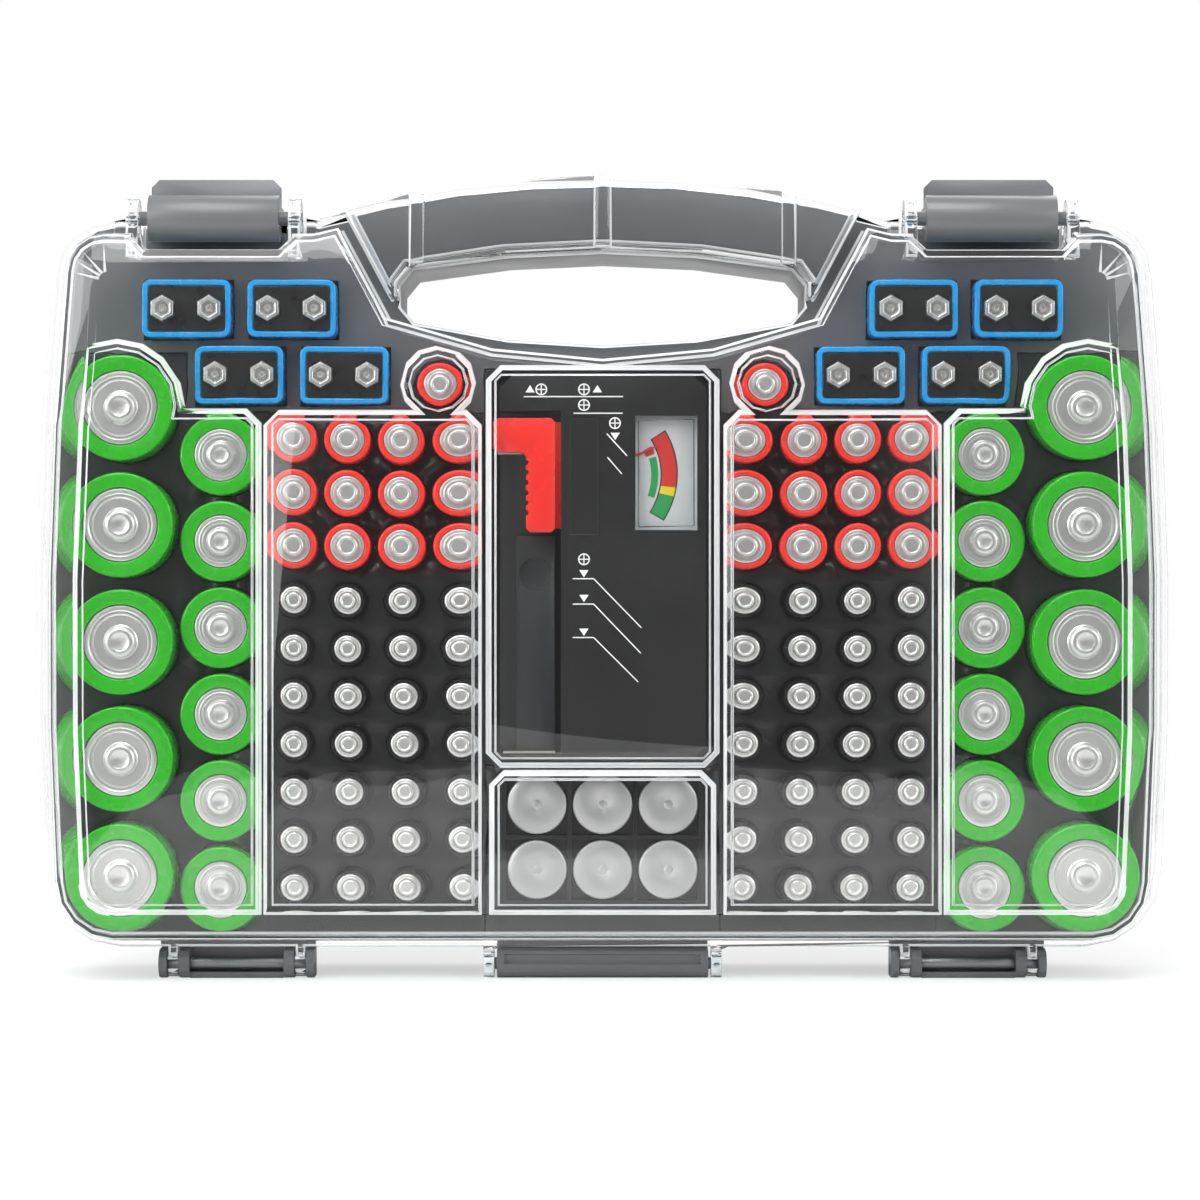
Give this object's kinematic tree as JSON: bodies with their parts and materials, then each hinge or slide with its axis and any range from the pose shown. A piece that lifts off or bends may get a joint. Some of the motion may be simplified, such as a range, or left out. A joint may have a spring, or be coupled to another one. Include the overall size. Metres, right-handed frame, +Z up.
{
  "type": "battery storage case",
  "caption": "Carry case with a grey tray of cell wells, a clear hinged lid with raised windows, two latches, a hand hole and a battery tester in its own bay.",
  "frame": {"origin": "middle of the bounding box, on the floor under the centre foot", "axes": "+X to the right of someone facing the lid, +Y from the lid to the back, +Z up"},
  "size_m": [0.3514, 0.073, 0.2477],
  "materials": {
    "tray_grey": "moulded, fine matt grain",
    "deck_charcoal": "moulded, fine matt grain",
    "deck_black": "moulded, matt",
    "clear_plastic": "clear, polished",
    "latch_grey": "moulded, satin",
    "pin_steel": "drawn",
    "jacket_green": "shrink jacket, gloss",
    "jacket_blue": "shrink jacket, gloss",
    "jacket_red": "shrink jacket, gloss",
    "jacket_black": "shrink jacket, gloss",
    "cell_steel": "nickel plated, satin",
    "tester_black": "moulded, satin",
    "tester_red": "moulded, gloss",
    "dial_white": "printed sheet",
    "contact_metal": "spring strip, nickel plated",
    "resistor_body": "coated"
  },
  "bodies": {
    "tray": {"tray_shell": "tray_grey", "large_cell_deck_left": "deck_charcoal", "large_cell_deck_right": "deck_charcoal", "small_cell_deck_left": "deck_black", "small_cell_deck_right": "deck_black", "tester_bay": "deck_black", "button_cell_tray": "deck_black", "hinge_pin_left": "pin_steel", "hinge_pin_right": "pin_steel", "d_cells": "jacket_green", "c_cells": "jacket_green", "aa_cells": "jacket_red", "aaa_cells": "jacket_black", "nine_volt_cells": "jacket_blue", "button_cells": "cell_steel", "tester_front": "tester_black", "tester_back": "tester_black", "tester_rail": "tester_black", "tester_base_contact": "contact_metal", "meter_window": "clear_plastic", "meter_dial": "dial_white", "meter_movement": "tester_black", "load_resistor": "resistor_body", "tester_screws": "cell_steel"},
    "lid": {"lid_shell": "clear_plastic"},
    "latch_left": {"latch_left": "latch_grey"},
    "latch_right": {"latch_right": "latch_grey"},
    "tester_arm": {"tester_arm": "tester_red", "arm_contact": "contact_metal"},
    "meter_needle": {"meter_needle": "tester_red"}
  },
  "joints": [
    {"name": "lid_hinge", "type": "hinge", "parent": "tray", "child": "lid", "pos_m": [0, -0.01, 0.0045], "axis": [1, 0, 0], "range_deg": [0, 180]},
    {"name": "latch_left_pivot", "type": "hinge", "parent": "lid", "child": "latch_left", "pos_m": [-0.1195, -0.0203, 0.2349], "axis": [1, 0, 0], "range_deg": [0, 75]},
    {"name": "latch_right_pivot", "type": "hinge", "parent": "lid", "child": "latch_right", "pos_m": [0.1195, -0.0203, 0.2349], "axis": [1, 0, 0], "range_deg": [0, 75]},
    {"name": "arm_slide", "type": "slide", "parent": "tray", "child": "tester_arm", "axis": [0, 0, 1], "range_m": [-0.062, 0]},
    {"name": "needle_pivot", "type": "hinge", "parent": "tray", "child": "meter_needle", "pos_m": [-0.003, -0.025, 0.15615], "axis": [0, 1, 0], "range_deg": [0, 48], "stiffness_Nm_per_rad": 0.0005, "springref_deg": -5.73}
  ]
}
